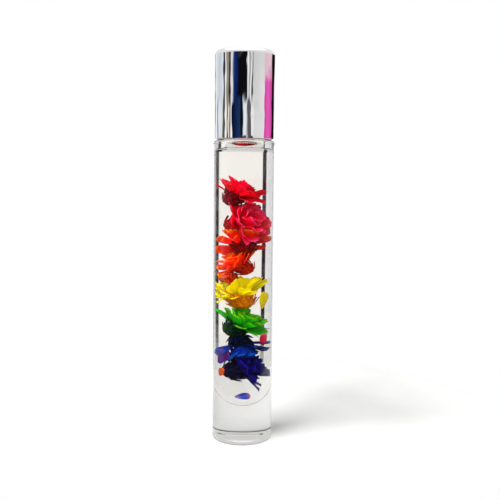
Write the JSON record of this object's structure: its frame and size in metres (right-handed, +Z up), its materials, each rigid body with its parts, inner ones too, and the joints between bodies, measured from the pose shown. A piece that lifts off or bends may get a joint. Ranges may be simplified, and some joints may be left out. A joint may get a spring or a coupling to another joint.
{
  "type": "roll-on perfume bottle",
  "caption": "Slim cylindrical glass roll-on bottle with a bright metal screw cap, a steel roller ball in a plastic housing, and dyed flower heads in clear oil.",
  "frame": {"origin": "centre of the base, on the plane that the bottle stands on", "axes": "+Z up the bottle's axis to the cap, -Y towards the viewer of the picture, +X to the right"},
  "size_m": [0.017, 0.017, 0.1081],
  "materials": {
    "flint_glass": "clear fire-polished glass",
    "clear_oil": "clear liquid, stood in by a clear solid",
    "natural_polyethylene": "satin moulded polyethylene",
    "polished_steel": "polished stainless steel",
    "wad_foam": "soft closed-cell polyethylene foam",
    "white_polypropylene": "moulded polypropylene",
    "bright_aluminium": "drawn and mirror-bright anodised",
    "crimson": "dyed dried petals, soaked in oil",
    "rose": "dyed dried petals, soaked in oil",
    "scarlet": "dyed dried petals, soaked in oil",
    "orange": "dyed dried petals, soaked in oil",
    "amber": "dyed dried petals, soaked in oil",
    "yellow": "dyed dried petals, soaked in oil",
    "green": "dyed dried petals, soaked in oil",
    "blue": "dyed dried petals, soaked in oil",
    "indigo": "dyed dried petals, soaked in oil",
    "pink": "dyed dried petals, soaked in oil",
    "violet": "dyed dried petals, soaked in oil",
    "tangerine": "dyed dried petals, soaked in oil",
    "cobalt": "dyed dried petals, soaked in oil"
  },
  "bodies": {
    "bottle": {"glass_bottle": "flint_glass", "perfume_oil": "clear_oil", "roller_housing": "natural_polyethylene", "crimson_flower": "crimson", "rose_flower": "rose", "scarlet_flower": "scarlet", "orange_flower": "orange", "amber_flower": "amber", "yellow_flower": "yellow", "green_flower": "green", "blue_flower": "blue", "indigo_flower": "indigo", "yellow_petal": "yellow", "pink_petal": "pink", "violet_petal": "violet", "tangerine_petal": "tangerine", "cobalt_petal": "cobalt"},
    "ball": {"roller_ball": "polished_steel"},
    "wad": {"cap_wad": "wad_foam"},
    "cap": {"cap_shell": "bright_aluminium", "cap_liner": "white_polypropylene"}
  },
  "joints": [
    {"name": "ball_roll", "type": "hinge", "parent": "bottle", "child": "ball", "pos_m": [0, 0, 0.09946], "axis": [1, 0, 0], "continuous": true},
    {"name": "cap_lift", "type": "slide", "parent": "bottle", "child": "wad", "axis": [0, 0, 1], "range_m": [0, 0.0255]},
    {"name": "cap_turn", "type": "hinge", "parent": "wad", "child": "cap", "pos_m": [0, 0, 0.0842], "axis": [0, 0, 1], "range_deg": [0, 4320]}
  ],
  "couplings": [
    {"joint": "cap_lift", "follows": "cap_turn", "m_per_rad": 0.00033688}
  ]
}
